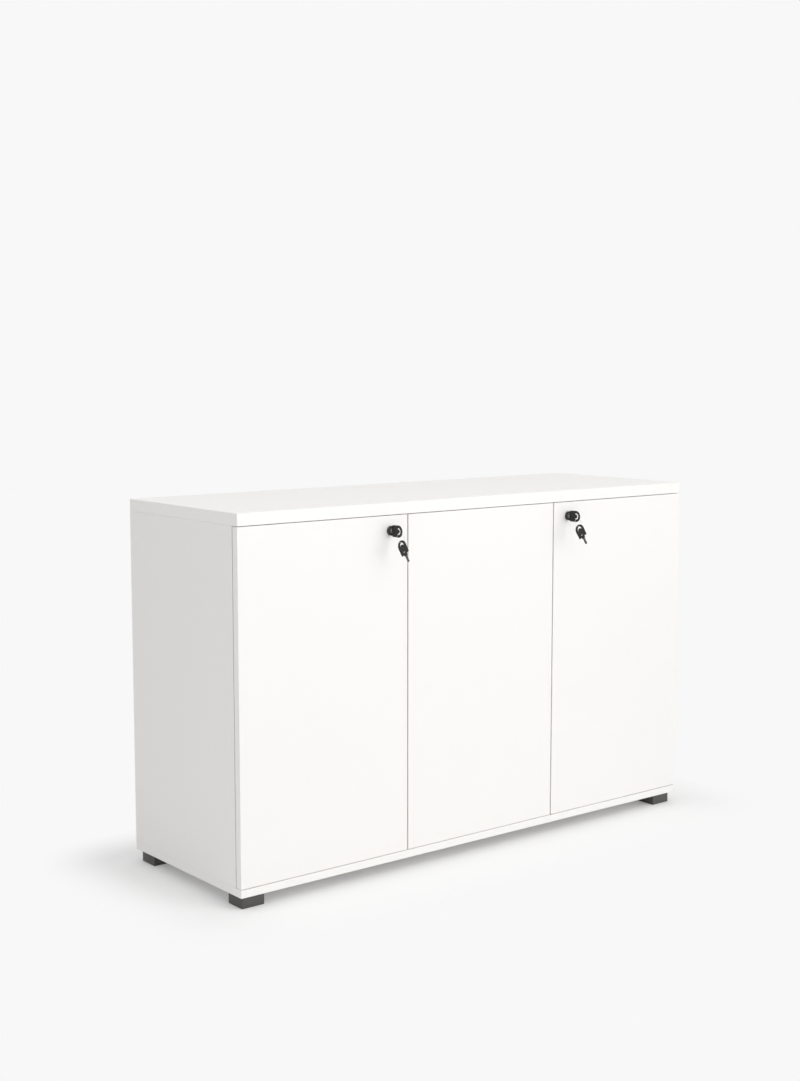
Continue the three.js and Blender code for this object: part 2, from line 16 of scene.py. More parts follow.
import bmesh
import bpy
from mathutils import Euler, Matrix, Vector


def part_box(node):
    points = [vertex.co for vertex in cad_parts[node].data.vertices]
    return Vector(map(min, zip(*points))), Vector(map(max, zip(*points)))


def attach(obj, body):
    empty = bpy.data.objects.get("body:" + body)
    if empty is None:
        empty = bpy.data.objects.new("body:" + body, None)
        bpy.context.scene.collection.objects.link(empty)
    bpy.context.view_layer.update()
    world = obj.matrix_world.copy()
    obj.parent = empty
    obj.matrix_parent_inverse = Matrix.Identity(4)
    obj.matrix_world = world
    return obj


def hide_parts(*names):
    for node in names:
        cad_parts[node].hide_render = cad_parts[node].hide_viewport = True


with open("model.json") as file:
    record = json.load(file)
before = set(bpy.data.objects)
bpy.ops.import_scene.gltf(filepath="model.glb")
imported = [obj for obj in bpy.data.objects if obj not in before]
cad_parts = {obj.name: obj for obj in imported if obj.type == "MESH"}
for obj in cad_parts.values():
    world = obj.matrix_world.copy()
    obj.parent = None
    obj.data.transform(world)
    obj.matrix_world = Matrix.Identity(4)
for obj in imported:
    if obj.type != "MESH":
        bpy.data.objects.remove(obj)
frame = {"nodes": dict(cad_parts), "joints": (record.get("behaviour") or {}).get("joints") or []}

LOG = logging.getLogger("credenza")
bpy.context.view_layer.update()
MM = 0.001
FULL_TURN = 2 * math.pi
QUARTER_TURN = math.pi / 2
MERGE_DISTANCE = 2e-6
SHORT_EDGE = 0.15 * MM
FLAT_TURN = math.radians(0.5)
SHARP_TURN = math.radians(40)
ROUND_PROFILE = 0.5
FINE_DETAIL = 3.0
SLOW_DETAIL = 2.0
# Sockets of a Mix node for colours: share, first colour, second colour, and the mixed colour.
MIX_INPUTS = (0, 6, 7)
MIX_RESULT = 2
WHITE = (1.0, 1.0, 1.0)
EASED = "eased"
FACING = "facing"
CASE = "carcass"

Triple = tuple[float, float, float]
Pair = tuple[float, float]
Shape = bmesh.types.BMesh
Material = bpy.types.Material
Piece = bpy.types.Object
Socket = bpy.types.NodeSocket
Node = bpy.types.Node
Feed = Union["Signal", Node, Socket, float, int, bool, str, Sequence[Any], bpy.types.ID]
Inputs = dict[Union[str, int], Feed]


class Slot(Enum):
    """The record's material slots."""

    BOARD = "white_board"
    FOOT = "foot_plastic"
    HINGE = "hinge_steel"
    LOCK_BLACK = "lock_black"
    LOCK_STEEL = "lock_steel"
    KEY_PLASTIC = "key_plastic"
    RING = "ring_wire"


class DoorSide(Enum):
    """The three doors, from left to right."""

    LEFT = "left"
    MIDDLE = "middle"
    RIGHT = "right"

    @property
    def toward(self) -> int:
        """Direction along X from the hinged edge to the free edge."""
        return -1 if self is DoorSide.RIGHT else 1

    @property
    def has_lock(self) -> bool:
        """Whether this door carries a cam lock."""
        return self is not DoorSide.MIDDLE


class Axis(Enum):
    """A direction of the frame."""

    X = 0
    Y = 1
    Z = 2


class Cover(Enum):
    """What covers a board's face, by its place among the board's finishes."""

    LAMINATE = 0
    BAND = 1
    CHIPS = 2


class Signal:
    """A number socket that takes part in Python arithmetic."""

    def __init__(self, graph: "Graph", socket: Socket) -> None:
        """Keep the socket and the tree it belongs to."""
        self.graph = graph
        self.socket = socket

    def _math(self, operation: str, first: Feed, second: Feed) -> "Signal":
        """Add one Math node and give its result."""
        made = self.graph.node("ShaderNodeMath", {0: first, 1: second}, operation=operation)
        return Signal(self.graph, made.outputs[0])

    def __add__(self, other: Feed) -> "Signal":
        """self + other."""
        return self._math("ADD", self, other)

    __radd__ = __add__

    def __sub__(self, other: Feed) -> "Signal":
        """self - other."""
        return self._math("SUBTRACT", self, other)

    def __rsub__(self, other: Feed) -> "Signal":
        """other - self."""
        return self._math("SUBTRACT", other, self)

    def __mul__(self, other: Feed) -> "Signal":
        """self * other."""
        return self._math("MULTIPLY", self, other)

    __rmul__ = __mul__

    def __pow__(self, other: Feed) -> "Signal":
        """self ** other."""
        return self._math("POWER", self, other)

    def __abs__(self) -> "Signal":
        """The size of the number without its sign."""
        return self._math("ABSOLUTE", self, 0.0)

    def at_least(self, low: Feed) -> "Signal":
        """The number, or low where it is smaller."""
        return self._math("MAXIMUM", self, low)


class Graph:
    """A node tree that is built by calls."""

    def __init__(self, tree: bpy.types.NodeTree) -> None:
        """Empty the tree and keep it."""
        self.tree = tree
        tree.nodes.clear()

    def node(self, kind: str, inputs: Optional[Inputs] = None, **settings: Any) -> Node:
        """Add one node.

        Args:
            kind: Blender's type name.
            inputs: Values or links by socket name or number.
            settings: The node's own choices, set first.

        Returns:
            The new node.
        """
        made = self.tree.nodes.new(kind)
        for name, value in settings.items():
            setattr(made, name, value)
        for name, value in (inputs or {}).items():
            self.feed(made.inputs[name], value)
        return made

    def feed(self, socket: Socket, value: Feed) -> None:
        """Give a socket a value, a link, or several links.

        Args:
            socket: The input to fill.
            value: A number, colour, name, socket or signal, a node for its first output, or a
                list of these.
        """
        if isinstance(value, Signal):
            self.feed(socket, value.socket)
        elif isinstance(value, Node):
            self.feed(socket, value.outputs[0])
        elif isinstance(value, Socket):
            self.tree.links.new(value, socket)
        elif isinstance(value, list):
            for each in value:
                self.feed(socket, each)
        else:
            socket.default_value = value

    def noise(self, where: Feed, scale: float, detail: float) -> Signal:
        """A grey noise with so many waves in one metre and so many finer layers."""
        inputs = {"Vector": where, "Scale": scale, "Detail": detail}
        return Signal(self, self.node("ShaderNodeTexNoise", inputs).outputs[0])

    def ramp(self, value: Feed, low: float, high: float) -> Signal:
        """Ease a value from 0 to 1 between two limits.

        Args:
            value: The value to ease.
            low: Where the result is 0.
            high: Where the result is 1.

        Returns:
            The eased value.
        """
        inputs = {"Value": value, "From Min": low, "From Max": high}
        made = self.node("ShaderNodeMapRange", inputs, interpolation_type="SMOOTHSTEP")
        return Signal(self, made.outputs[0])

    def blend(self, share: Feed, first: Feed, second: Feed) -> Socket:
        """Two colours mixed: share 0 gives the first, 1 the second."""
        inputs = dict(zip(MIX_INPUTS, (share, first, second)))
        return self.node("ShaderNodeMix", inputs, data_type="RGBA").outputs[MIX_RESULT]


def opaque(colour: Triple, factor: float = 1.0) -> tuple[float, float, float, float]:
    """The colour, made lighter or darker by a factor, with full alpha."""
    return (*(min(1.0, part * factor) for part in colour), 1.0)


@dataclass(frozen=True)
class Pattern:
    """A noise on a surface: waves in one metre, and how deep or strong it is."""

    scale: float
    amount: float


@dataclass(frozen=True)
class Wear:
    """Eased edges that are rubbed to another colour, in patches."""

    colour: Triple
    share: float = 0.5
    patch_scale: float = 220.0
    patch_limits: Pair = (0.35, 0.65)
    polish: float = 0.3

    def mask(self, graph: Graph, where: Socket) -> Signal:
        """Tell how worn each spot is.

        Args:
            graph: The material's tree.
            where: Object coordinates.

        Returns:
            0 for sound spots, up to the share on worn edges.
        """
        edge = graph.node("ShaderNodeAttribute", attribute_type="GEOMETRY", attribute_name=EASED)
        speckle = graph.noise(where, self.patch_scale, FINE_DETAIL)
        patch = graph.ramp(speckle, *self.patch_limits)
        return Signal(graph, edge.outputs["Fac"]) * patch * self.share


@dataclass(frozen=True)
class Finish:
    """A surface: its colour, gloss and the fine relief that breaks up the light."""

    name: str
    colour: Triple
    roughness: float
    roughness_spread: float
    grain: Pattern
    tone: Pattern
    wear: Optional[Wear] = None
    metallic: float = 0.0
    specular: float = 0.5
    relief: float = 0.6

    def stretch(self) -> Triple:
        """Scale of the pattern along each axis."""
        return (1.0, 1.0, 1.0)

    def material(self) -> Material:
        """Build the material.

        Returns:
            A new material with its nodes.
        """
        made = bpy.data.materials.new(self.name)
        made.use_nodes = True
        made.diffuse_color = opaque(self.colour)
        graph = Graph(made.node_tree)
        where = graph.node("ShaderNodeTexCoord").outputs["Object"]
        place = graph.node("ShaderNodeMapping", {"Vector": where, "Scale": self.stretch()})
        grain = graph.noise(place, self.grain.scale, FINE_DETAIL)
        tone = graph.noise(place, self.tone.scale, SLOW_DETAIL)
        colour = self.tint(graph, place, tone)
        gloss = self.roughness + self.roughness_spread * (grain + tone - 1.0)
        if self.wear is not None:
            worn = self.wear.mask(graph, where)
            colour = graph.blend(worn, colour, opaque(self.wear.colour))
            gloss = gloss - worn * (self.wear.polish * self.roughness)
        relief = {"Strength": self.relief, "Distance": self.grain.amount, "Height": grain}
        surface = graph.node(
            "ShaderNodeBsdfPrincipled",
            {
                "Base Color": colour,
                "Roughness": gloss,
                "Metallic": self.metallic,
                "Specular IOR Level": self.specular,
                "Normal": graph.node("ShaderNodeBump", relief),
            },
        )
        graph.node("ShaderNodeOutputMaterial", {"Surface": surface})
        return made

    def tint(self, graph: Graph, place: Node, tone: Signal) -> Socket:
        """Colour over the surface.

        Args:
            graph: The material's tree.
            place: The node of the pattern's coordinates.
            tone: Slow noise from 0 to 1.

        Returns:
            The colour's socket.
        """
        darker = opaque(self.colour, 1.0 - self.tone.amount)
        lighter = opaque(self.colour, 1.0 + self.tone.amount)
        return graph.blend(tone, darker, lighter)


@dataclass(frozen=True)
class Chipboard(Finish):
    """Bare pressed chips, seen only inside drilled holes and grooves."""

    chip_colour: Triple = (0.36, 0.24, 0.13)
    chip_scale: float = 650.0
    chip_limits: Pair = (0.2, 0.7)

    def tint(self, graph: Graph, place: Node, tone: Signal) -> Socket:
        """Chips of two browns.

        Args:
            graph: The material's tree.
            place: The node of the pattern's coordinates.
            tone: Slow noise from 0 to 1.

        Returns:
            The colour's socket.
        """
        cells = graph.node("ShaderNodeTexVoronoi", {"Vector": place, "Scale": self.chip_scale})
        spread = Signal(graph, cells.outputs["Distance"]) + tone * self.tone.amount
        chips = graph.ramp(spread, *self.chip_limits)
        return graph.blend(chips, opaque(self.colour), opaque(self.chip_colour))


@dataclass(frozen=True)
class BrushedMetal(Finish):
    """Metal with fine lines drawn along one axis."""

    along: Axis = Axis.Z
    line_ratio: float = 0.06

    def stretch(self) -> Triple:
        """Scale of the pattern, long along the lines."""
        x, y, z = (self.line_ratio if each is self.along else 1.0 for each in Axis)
        return (x, y, z)


class Palette:
    """Every finish of the cabinet, each made into a material once."""

    def __init__(self) -> None:
        """Build the materials."""
        self.laminate = Finish(
            "white_laminate", (0.905, 0.888, 0.868), roughness=0.46, roughness_spread=0.05,
            grain=Pattern(700.0, 0.012 * MM), tone=Pattern(3.0, 0.006),
        ).material()
        self.edge_band = Finish(
            "white_edge_band", (0.912, 0.9, 0.878), roughness=0.38, roughness_spread=0.05,
            grain=Pattern(420.0, 0.01 * MM), tone=Pattern(9.0, 0.008),
            wear=Wear((0.84, 0.82, 0.79), share=0.35),
        ).material()
        self.chipboard = Chipboard(
            "bare_chipboard", (0.58, 0.44, 0.27), roughness=0.85, roughness_spread=0.08,
            grain=Pattern(900.0, 0.1 * MM), tone=Pattern(60.0, 0.2),
        ).material()
        self.foot = Finish(
            "foot_plastic", (0.074, 0.0715, 0.069), roughness=0.55, roughness_spread=0.1,
            grain=Pattern(1600.0, 0.03 * MM), tone=Pattern(40.0, 0.05),
            wear=Wear((0.17, 0.165, 0.16)),
        ).material()
        self.lock_black = Finish(
            "lock_black_satin", (0.02, 0.02, 0.02), roughness=0.4, roughness_spread=0.1,
            grain=Pattern(1500.0, 0.012 * MM), tone=Pattern(90.0, 0.08),
            wear=Wear((0.14, 0.135, 0.13), share=0.35),
        ).material()
        self.key_plastic = Finish(
            "key_moulded_black", (0.038, 0.038, 0.038), roughness=0.5, roughness_spread=0.12,
            grain=Pattern(1900.0, 0.02 * MM), tone=Pattern(120.0, 0.08),
            wear=Wear((0.075, 0.075, 0.075)), specular=0.15,
        ).material()
        self.hinge_steel = BrushedMetal(
            "hinge_nickel", (0.60, 0.60, 0.595), roughness=0.3, roughness_spread=0.12,
            grain=Pattern(900.0, 0.006 * MM), tone=Pattern(30.0, 0.05),
            wear=Wear((0.75, 0.74, 0.72)), metallic=1.0,
        ).material()
        self.lock_steel = BrushedMetal(
            "key_dark_nickel", (0.115, 0.115, 0.112), roughness=0.36, roughness_spread=0.12,
            grain=Pattern(1500.0, 0.006 * MM), tone=Pattern(60.0, 0.08),
            wear=Wear((0.2, 0.198, 0.194)), metallic=1.0, along=Axis.Y,
        ).material()
        self.plug_steel = BrushedMetal(
            "plug_satin_zinc", (0.56, 0.55, 0.535), roughness=0.55, roughness_spread=0.12,
            grain=Pattern(1300.0, 0.01 * MM), tone=Pattern(70.0, 0.06),
            wear=Wear((0.62, 0.61, 0.59)), metallic=0.3, along=Axis.X,
        ).material()
        self.ring_wire = BrushedMetal(
            "ring_bright_wire", (0.7, 0.69, 0.67), roughness=0.3, roughness_spread=0.08,
            grain=Pattern(1800.0, 0.004 * MM), tone=Pattern(80.0, 0.05),
            metallic=1.0, along=Axis.X,
        ).material()


@dataclass(frozen=True)
class Easing:
    """How a piece's outer edges are rounded."""

    radius: float
    segments: int = 3
    shortest: float = 0.0


class Workshop:
    """Makes pieces and hands them to the frame."""

    def __init__(self, palette: Palette) -> None:
        """Keep the finishes."""
        self.palette = palette

    @staticmethod
    def node_shape(node: str) -> Shape:
        """Copy a CAD node as a closed mesh with whole flat faces.

        Args:
            node: The node's name.

        Returns:
            A new mesh to work on.
        """
        mesh = frame["nodes"][node].data
        shape = bmesh.new()
        corners = [shape.verts.new(each.co) for each in mesh.vertices]
        for polygon in mesh.polygons:
            shape.faces.new([corners[index] for index in polygon.vertices])
        bmesh.ops.remove_doubles(shape, verts=shape.verts[:], dist=MERGE_DISTANCE)
        bmesh.ops.dissolve_limit(
            shape, angle_limit=FLAT_TURN, verts=shape.verts[:], edges=shape.edges[:]
        )
        bmesh.ops.dissolve_degenerate(shape, dist=SHORT_EDGE, edges=shape.edges[:])
        return shape

    @staticmethod
    def ease(shape: Shape, easing: Easing) -> None:
        """Round the outer edges, and mark the rounded strips.

        Args:
            shape: The mesh, changed in place.
            easing: Radius, steps and shortest edge to round.
        """
        mark = shape.faces.layers.float.new(EASED)
        for face in shape.faces:
            turns = [edge.calc_face_angle(0.0) for edge in face.edges]
            face.smooth = any(FLAT_TURN < turn < SHARP_TURN for turn in turns)
        corners = [
            edge
            for edge in shape.edges
            if edge.is_convex
            and edge.calc_face_angle(0.0) > SHARP_TURN
            and edge.calc_length() > easing.shortest
        ]
        made = bmesh.ops.bevel(
            shape, geom=corners, offset=easing.radius, offset_type="OFFSET", affect="EDGES",
            segments=easing.segments, profile=ROUND_PROFILE, clamp_overlap=False,
        )
        for face in made["faces"]:
            face.smooth = True
            face[mark] = 1.0

    @staticmethod
    def soften(shape: Shape) -> None:
        """Shade a turned mesh smooth, apart from its sharp edges.

        Args:
            shape: The mesh, changed in place.
        """
        for face in shape.faces:
            face.smooth = True
        for edge in shape.edges:
            edge.smooth = edge.calc_face_angle(0.0) < SHARP_TURN

    @staticmethod
    def piece(name: str, shape: Shape, *materials: Material) -> Piece:
        """Turn a mesh into an object in the scene.

        Args:
            name: The piece's name.
            shape: The mesh, which is freed.
            materials: Its finishes in order.

        Returns:
            The new object.
        """
        mesh = bpy.data.meshes.new(name)
        shape.to_mesh(mesh)
        shape.free()
        for material in materials:
            mesh.materials.append(material)
        made = bpy.data.objects.new(name, mesh)
        bpy.context.scene.collection.objects.link(made)
        return made

    @staticmethod
    def hand_over(made: Piece, body: str, slot: Slot, *nodes: str) -> None:
        """Let a piece ride on its body and hide the CAD nodes that it stands for.

        Args:
            made: The piece.
            body: The CAD body it moves with.
            slot: The record's material slot. Not used.
            nodes: CAD nodes that it stands for.
        """
        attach(made, body)
        if nodes:
            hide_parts(*nodes)
        LOG.info("%s: %d faces on %s", made.name, len(made.data.polygons), body)

    def eased_node(
        self, node: str, body: str, slot: Slot, material: Material, easing: Easing
    ) -> None:
        """Stand an eased copy in a CAD node's place.

        Args:
            node: The CAD node.
            body: The body that it belongs to.
            slot: The record's material slot.
            material: The finish.
            easing: How its edges are rounded.
        """
        shape = self.node_shape(node)
        self.ease(shape, easing)
        self.hand_over(self.piece(f"{node}_shown", shape, material), body, slot, node)


def skin(rings: Sequence[Sequence[Sequence[float]]], endless: bool) -> Shape:
    """Join rings of points into a closed mesh.

    Args:
        rings: Rings of equal length, in order.
        endless: Whether the last ring joins the first. Otherwise both ends are capped.

    Returns:
        A closed mesh.
    """
    shape = bmesh.new()
    loops = [[shape.verts.new(spot) for spot in ring] for ring in rings]
    count = len(loops[0])
    followers = loops[1:] + loops[:1] if endless else loops[1:]
    for loop, after in zip(loops, followers):
        for step in range(count):
            other = (step + 1) % count
            shape.faces.new((loop[step], loop[other], after[other], after[step]))
    if not endless:
        shape.faces.new(loops[0][::-1])
        shape.faces.new(loops[-1])
    bmesh.ops.recalc_face_normals(shape, faces=shape.faces[:])
    return shape


def circle(centre: Vector, radius: float, out: float, sides: int) -> list[Vector]:
    """Points on a circle about an axis along Y.

    Args:
        centre: A point of the axis.
        radius: The circle's radius.
        out: Distance of the circle from that point, toward the front.
        sides: Number of points.

    Returns:
        The points in order.
    """
    points = []
    for step in range(sides):
        turn = FULL_TURN * step / sides
        points.append(centre + Vector((radius * math.cos(turn), -out, radius * math.sin(turn))))
    return points


class NodeMaker:
    """A Geometry Nodes tree with named sizes that ends in a plain mesh."""

    def __init__(self, name: str, sizes: dict[str, float]) -> None:
        """Make the tree and its inputs.

        Args:
            name: The tree's name.
            sizes: Named sizes with their values.
        """
        self.tree = bpy.data.node_groups.new(name, "GeometryNodeTree")
        self.graph = Graph(self.tree)
        sockets = self.tree.interface
        for way in ("INPUT", "OUTPUT"):
            sockets.new_socket(name="Geometry", in_out=way, socket_type="NodeSocketGeometry")
        self.values: dict[str, float] = {}
        for label, value in sizes.items():
            made = sockets.new_socket(name=label, in_out="INPUT", socket_type="NodeSocketFloat")
            self.values[made.identifier] = value
        self.source = self.graph.node("NodeGroupInput")

    def size(self, label: str) -> Signal:
        """A named size as a signal."""
        return Signal(self.graph, self.source.outputs[label])

    def vector(self, x: Feed, y: Feed, z: Feed) -> Node:
        """Three numbers as a vector."""
        return self.graph.node("ShaderNodeCombineXYZ", {0: x, 1: y, 2: z})

    def shift(self, geometry: Node, **moves: Feed) -> Node:
        """Move, turn or scale a geometry by the named inputs of a Transform node."""
        return self.graph.node("GeometryNodeTransform", {"Geometry": geometry, **moves})

    def smooth(self, geometry: Node) -> Node:
        """Shade a geometry smooth."""
        return self.graph.node("GeometryNodeSetShadeSmooth", {"Geometry": geometry})

    def close(self, geometry: Node, material: Material) -> None:
        """End the tree.

        Args:
            geometry: What the tree has made.
            material: Its finish.
        """
        real = self.graph.node("GeometryNodeRealizeInstances", {"Geometry": geometry})
        inputs = {"Geometry": real, "Material": material}
        painted = self.graph.node("GeometryNodeSetMaterial", inputs)
        self.graph.node("NodeGroupOutput", {0: painted})

    def run(self, name: str, seed: Shape, material: Material) -> Piece:
        """Evaluate the tree on a seed mesh.

        Args:
            name: The new piece's name.
            seed: The mesh that goes in, which is freed.
            material: The one finish in the piece's own list.

        Returns:
            An object with a plain mesh.
        """
        made = Workshop.piece(name, seed)
        modifier = made.modifiers.new("make", "NODES")
        modifier.node_group = self.tree
        for identifier, value in self.values.items():
            modifier[identifier] = value
        graph = bpy.context.evaluated_depsgraph_get()
        mesh = bpy.data.meshes.new_from_object(made.evaluated_get(graph), depsgraph=graph)
        made.modifiers.clear()
        made.data = mesh
        mesh.name = name
        mesh.materials.clear()
        mesh.materials.append(material)
        return made


@dataclass(frozen=True)
class HeadKind(ABC):
    """The head of a fastener, set on many points at once."""

    name: str
    radius: float
    height: float

    def sizes(self) -> dict[str, float]:
        """The tree's named sizes with their values."""
        return {"Radius": self.radius, "Height": self.height}

    @abstractmethod
    def head(self, maker: NodeMaker) -> Node:
        """Make one head at the origin, looking along Z, in the maker's tree."""

    def tree(self, material: Material) -> NodeMaker:
        """Build the tree that sets one head on each point.

        Args:
            material: The heads' finish.

        Returns:
            The finished tree.
        """
        maker = NodeMaker(self.name, self.sizes())
        node = maker.graph.node
        facing = node(
            "GeometryNodeInputNamedAttribute", {"Name": FACING}, data_type="FLOAT_VECTOR"
        )
        turn = node("FunctionNodeAlignRotationToVector", {"Vector": facing}, axis="Z")
        places = {"Points": maker.source, "Instance": self.head(maker), "Rotation": turn}
        maker.close(node("GeometryNodeInstanceOnPoints", places), material)
        return maker


@dataclass(frozen=True)
class ScrewKind(HeadKind):
    """A raised head with a cross slot.

    The top is given as a share of the radius, and the bars that cut the slot as shares of the
    radius and the height.
    """

    slot_width: float = 0.9 * MM
    sides: int = 36
    top_share: float = 0.72
    bar_length: float = 1.1
    bar_height: float = 1.2

    def sizes(self) -> dict[str, float]:
        """The tree's named sizes with their values."""
        return {**super().sizes(), "Slot Width": self.slot_width}

    def head(self, maker: NodeMaker) -> Node:
        """Make a low cone and cut two crossing bars from it.

        Args:
            maker: The tree in which it is made.

        Returns:
            The head's node.
        """
        radius, height, width = (maker.size(label) for label in self.sizes())
        node = maker.graph.node
        cone = node(
            "GeometryNodeMeshCone",
            {
                "Vertices": self.sides,
                "Radius Top": radius * self.top_share,
                "Radius Bottom": radius,
                "Depth": height,
            },
        )
        length, depth = radius * self.bar_length, height * self.bar_height
        bars = []
        for across, along in ((length, width), (width, length)):
            bar = node("GeometryNodeMeshCube", {"Size": maker.vector(across, along, depth)})
            bars.append(maker.shift(bar, Translation=maker.vector(0.0, 0.0, height)))
        return node(
            "GeometryNodeMeshBoolean",
            {"Mesh 1": cone, "Mesh 2": bars},
            operation="DIFFERENCE",
            solver="EXACT",
        )


@dataclass(frozen=True)
class RivetKind(HeadKind):
    """A low dome."""

    sides: int = 20
    rings: int = 8

    def head(self, maker: NodeMaker) -> Node:
        """Make a flattened ball, half of it sunk in the seat.

        Args:
            maker: The tree in which it is made.

        Returns:
            The head's node.
        """
        radius, height = (maker.size(label) for label in self.sizes())
        inputs = {"Segments": self.sides, "Rings": self.rings, "Radius": 1.0}
        ball = maker.graph.node("GeometryNodeMeshUVSphere", inputs)
        return maker.smooth(maker.shift(ball, Scale=maker.vector(radius, radius, height)))


@dataclass
class Fixings:
    """Screw and rivet heads gathered for each body, then made in one go."""

    shop: Workshop
    spots: dict[tuple[str, HeadKind], list[tuple[Vector, Vector]]] = field(default_factory=dict)

    def add(
        self, body: str, kind: HeadKind, spot: Sequence[float], facing: Sequence[float]
    ) -> None:
        """Note one head that rides on a body: its seat's centre and the way it looks."""
        self.spots.setdefault((body, kind), []).append((Vector(spot), Vector(facing)))

    def build(self) -> None:
        """Make every noted head, one piece for each body and kind."""
        steel = self.shop.palette.hinge_steel
        trees: dict[HeadKind, NodeMaker] = {}
        for (body, kind), places in self.spots.items():
            if kind not in trees:
                trees[kind] = kind.tree(steel)
            seed = bmesh.new()
            look = seed.verts.layers.float_vector.new(FACING)
            for spot, facing in places:
                seed.verts.new(spot)[look] = facing
            made = trees[kind].run(f"{body}_{kind.name}", seed, steel)
            self.shop.hand_over(made, body, Slot.HINGE)


@dataclass
class Boards:
    """Every white board: the case, the shelves and the doors."""

    shop: Workshop
    easing: Easing = Easing(0.5 * MM, 3, 12 * MM)
    level_easing: Easing = Easing(0.9 * MM, 3, 12 * MM)
    on_face: float = 0.02 * MM
    case_nodes: tuple[str, ...] = (
        "top_panel", "bottom_panel", "left_side_panel", "right_side_panel",
        "partition", "back_panel", "left_shelf", "right_shelf",
    )

    def build(self) -> None:
        """Make the case, the shelves and the doors."""
        for node in self.case_nodes:
            self.board(node, CASE)
        for side in DoorSide:
            self.board(f"{side.value}_door", f"{side.value}_door")

    def board(self, node: str, body: str) -> None:
        """Stand a laminated board with banded edges in a node's place.

        Args:
            node: The CAD node.
            body: The body that it belongs to.
        """
        low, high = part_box(node)
        axis = min(Axis, key=lambda each: high[each.value] - low[each.value])
        shape = self.shop.node_shape(node)
        self.shop.ease(shape, self.level_easing if axis is Axis.Z else self.easing)
        mark = shape.faces.layers.float[EASED]
        for face in shape.faces:
            cover = Cover.BAND if face[mark] else self.cover(face, low, high, axis)
            face.material_index = cover.value
        finishes = self.shop.palette
        made = self.shop.piece(
            f"{node}_shown", shape, finishes.laminate, finishes.edge_band, finishes.chipboard
        )
        self.shop.hand_over(made, body, Slot.BOARD, node)

    def cover(self, face: bmesh.types.BMFace, low: Vector, high: Vector, axis: Axis) -> Cover:
        """Choose what covers a flat face.

        Args:
            face: A face of the board.
            low: The board's lowest corner.
            high: Its highest corner.
            axis: The direction in which it is thin.

        Returns:
            Laminate on the broad faces, a band on the edges, bare chips in holes and grooves.
        """
        centre = face.calc_center_median()
        outer = [min(at - a, b - at) < self.on_face for at, a, b in zip(centre, low, high)]
        if outer[axis.value]:
            return Cover.LAMINATE
        return Cover.BAND if any(outer) else Cover.CHIPS


@dataclass
class Feet:
    """Four moulded block feet with a fine shadow groove under the board."""

    shop: Workshop
    corner: float = 2.0 * MM
    corner_steps: int = 4
    foot_edge: float = 0.9 * MM
    groove_depth: float = 0.7 * MM
    groove_low: float = 22.4 * MM
    groove_high: float = 23.4 * MM
    groove_slope: float = 0.2 * MM
    easing: Easing = Easing(0.25 * MM, 2)

    def outline(self, low: Vector, high: Vector, inset: float, level: float) -> list[Vector]:
        """A rectangle with rounded corners at one level.

        Args:
            low: The foot's lowest corner.
            high: Its highest corner.
            inset: Distance in from its sides.
            level: Height above the floor.

        Returns:
            The points in order.
        """
        middle = (low + high) / 2
        flat_x = (high.x - low.x) / 2 - inset - self.corner
        flat_y = (high.y - low.y) / 2 - inset - self.corner
        points = []
        for quarter, (side, end) in enumerate(((1, 1), (-1, 1), (-1, -1), (1, -1))):
            for step in range(self.corner_steps + 1):
                turn = QUARTER_TURN * (quarter + step / self.corner_steps)
                x = middle.x + side * flat_x + self.corner * math.cos(turn)
                y = middle.y + end * flat_y + self.corner * math.sin(turn)
                points.append(Vector((x, y, level)))
        return points

    def build(self) -> None:
        """Make the four feet."""
        for end in ("front", "rear"):
            for side in ("left", "right"):
                self.build_foot(f"{end}_{side}_foot")

    def build_foot(self, node: str) -> None:
        """Make one foot in a node's place.

        Args:
            node: The CAD node.
        """
        low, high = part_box(node)
        levels = [
            (self.foot_edge, low.z),
            (0.0, low.z + self.foot_edge),
            (0.0, self.groove_low),
            (self.groove_depth, self.groove_low + self.groove_slope),
            (self.groove_depth, self.groove_high),
            (0.0, self.groove_high + self.groove_slope),
            (0.0, high.z),
        ]
        outlines = [self.outline(low, high, inset, level) for inset, level in levels]
        shape = skin(outlines, endless=False)
        self.shop.ease(shape, self.easing)
        made = self.shop.piece(f"{node}_shown", shape, self.shop.palette.foot)
        self.shop.hand_over(made, CASE, Slot.FOOT, node)


@dataclass
class ShelfPins:
    """Six plated pins that carry the shelves."""

    shop: Workshop
    easing: Easing = Easing(0.4 * MM, 3)

    def build(self) -> None:
        """Make the pins."""
        steel = self.shop.palette.hinge_steel
        for place in ("left_side", "partition", "right_side"):
            for end in ("front", "rear"):
                node = f"{place}_{end}_shelf_pin"
                self.shop.eased_node(node, CASE, Slot.HINGE, steel, self.easing)


